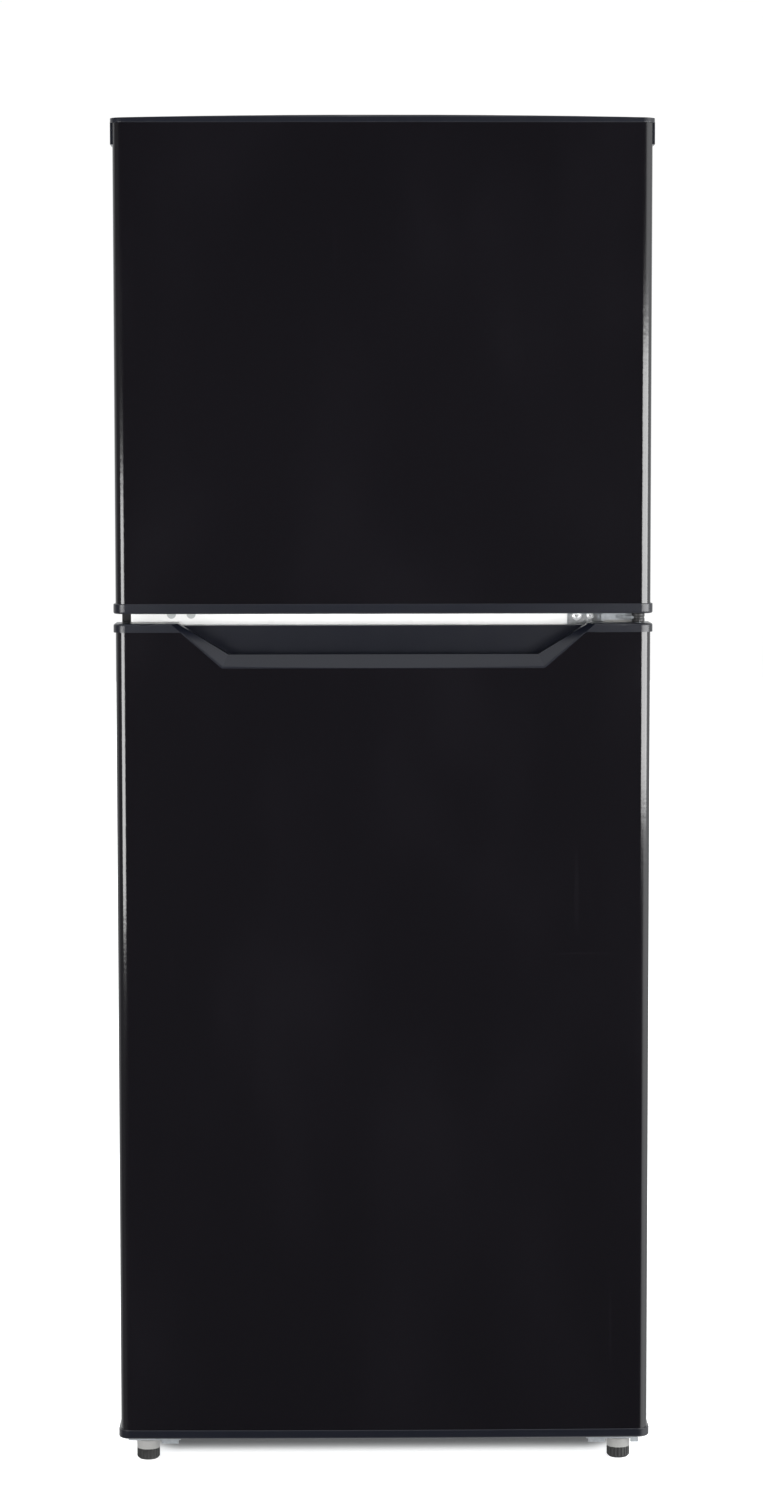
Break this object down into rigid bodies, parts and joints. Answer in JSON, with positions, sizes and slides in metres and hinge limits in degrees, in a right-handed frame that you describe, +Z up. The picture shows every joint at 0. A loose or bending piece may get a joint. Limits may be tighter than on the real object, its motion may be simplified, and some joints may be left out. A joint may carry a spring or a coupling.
{
  "type": "top freezer refrigerator",
  "caption": "Free-standing two-door refrigerator with a freezer compartment above, a pocket handle in the lower door, right-hand hinges and levelling feet.",
  "frame": {"origin": "centre of the bounding box at floor level, under the middle of the appliance", "axes": "+Z up, doors face -Y, +X to the right of a person facing the doors (hinge side)"},
  "size_m": [0.595, 0.66, 1.509],
  "materials": {
    "door_paint": "gloss",
    "cap_plastic": "satin",
    "cabinet_paint": "satin",
    "grey_steel": "satin",
    "white_steel": "satin",
    "white_lining": "satin",
    "foam": "matte",
    "zinc_plate": "satin",
    "screw_zinc": "satin",
    "black_plastic": "satin",
    "grey_plastic": "satin",
    "clear_plastic": "gloss",
    "lens_plastic": "satin",
    "white_plastic": "satin",
    "shelf_glass": "gloss",
    "bulb_glass": "gloss",
    "gasket_rubber": "satin",
    "rubber_black": "matte",
    "compressor_black": "satin",
    "copper": "satin",
    "condenser_black": "satin",
    "fin_aluminium": "satin",
    "rack_wire": "satin"
  },
  "bodies": {
    "cabinet": {"outer_wrapper": "cabinet_paint", "back_panel": "grey_steel", "bottom_panel": "grey_steel", "centre_rail": "white_steel", "rail_hole_plugs": "white_plastic", "fridge_liner": "white_lining", "freezer_liner": "white_lining", "cabinet_foam": "foam", "top_hinge": "zinc_plate", "top_hinge_cover": "black_plastic", "middle_hinge": "zinc_plate", "bottom_hinge": "zinc_plate", "left_foot_bracket": "zinc_plate", "case_screws": "screw_zinc", "compressor_tray": "grey_steel", "compressor": "compressor_black", "compressor_mounts": "rubber_black", "start_relay": "black_plastic", "drip_tray": "black_plastic", "refrigerant_pipes": "copper", "machine_cover": "grey_steel", "cord_gland": "rubber_black", "condenser_coil": "condenser_black", "condenser_brackets": "black_plastic", "shelf_glass": "shelf_glass", "shelf_frames": "white_plastic", "control_housing": "white_plastic", "lamp_lens": "lens_plastic", "lamp_bulb": "bulb_glass", "door_switch": "white_plastic", "freezer_air_cover": "white_plastic", "fan_motor": "black_plastic", "evaporator": "fin_aluminium", "freezer_rack": "rack_wire"},
    "fridge_door": {"fridge_door_skin": "door_paint", "fridge_door_foam": "foam", "fridge_door_liner": "white_lining", "fridge_door_top_cap": "cap_plastic", "fridge_door_bottom_cap": "cap_plastic", "fridge_door_gasket": "gasket_rubber", "fridge_door_racks": "clear_plastic", "bottle_rack": "clear_plastic"},
    "freezer_door": {"freezer_door_skin": "door_paint", "freezer_door_foam": "foam", "freezer_door_liner": "white_lining", "freezer_door_top_cap": "cap_plastic", "freezer_door_bottom_cap": "cap_plastic", "freezer_door_gasket": "gasket_rubber", "freezer_door_racks": "clear_plastic"},
    "drawer": {"crisper_drawer": "clear_plastic"},
    "knob": {"thermostat_knob": "grey_plastic"},
    "air_control": {"airflow_slider": "grey_plastic"},
    "fan": {"evaporator_fan": "black_plastic"},
    "plunger": {"switch_plunger": "white_plastic"},
    "left_foot": {"left_foot_pad": "rubber_black", "left_foot_stud": "grey_plastic"},
    "right_foot": {"right_foot_pad": "rubber_black", "right_foot_stud": "grey_plastic"},
    "left_roller": {"rear_roller_left": "black_plastic"},
    "right_roller": {"rear_roller_right": "black_plastic"}
  },
  "joints": [
    {"name": "fridge_door_swing", "type": "hinge", "parent": "cabinet", "child": "fridge_door", "pos_m": [0.283, -0.299, 0.04], "axis": [0, 0, 1], "range_deg": [0, 130]},
    {"name": "freezer_door_swing", "type": "hinge", "parent": "cabinet", "child": "freezer_door", "pos_m": [0.283, -0.299, 0.96], "axis": [0, 0, 1], "range_deg": [0, 130]},
    {"name": "drawer_slide", "type": "slide", "parent": "cabinet", "child": "drawer", "axis": [0, -1, 0], "range_m": [0, 0.19]},
    {"name": "thermostat_turn", "type": "hinge", "parent": "cabinet", "child": "knob", "pos_m": [-0.058, -0.12, 0.901], "axis": [0, -1, 0], "range_deg": [-135, 135]},
    {"name": "airflow_slide", "type": "slide", "parent": "cabinet", "child": "air_control", "axis": [1, 0, 0], "range_m": [-0.01, 0.06]},
    {"name": "fan_spin", "type": "hinge", "parent": "cabinet", "child": "fan", "pos_m": [0, 0.2, 1.335], "axis": [0, 1, 0], "continuous": true},
    {"name": "switch_press", "type": "slide", "parent": "cabinet", "child": "plunger", "axis": [0, 1, 0], "range_m": [0, 0.005], "stiffness_N_per_m": 150},
    {"name": "left_foot_turn", "type": "hinge", "parent": "cabinet", "child": "left_foot", "pos_m": [-0.268, -0.25, 0], "axis": [0, 0, 1], "range_deg": [-360, 360]},
    {"name": "right_foot_turn", "type": "hinge", "parent": "cabinet", "child": "right_foot", "pos_m": [0.268, -0.25, 0], "axis": [0, 0, 1], "range_deg": [-360, 360]},
    {"name": "left_roller_spin", "type": "hinge", "parent": "cabinet", "child": "left_roller", "pos_m": [-0.25, 0.268, 0.017], "axis": [1, 0, 0], "continuous": true},
    {"name": "right_roller_spin", "type": "hinge", "parent": "cabinet", "child": "right_roller", "pos_m": [0.25, 0.268, 0.017], "axis": [1, 0, 0], "continuous": true}
  ],
  "couplings": [
    {"joint": "drawer_slide", "follows": "fridge_door_swing", "m_per_rad": 0.0837}
  ]
}
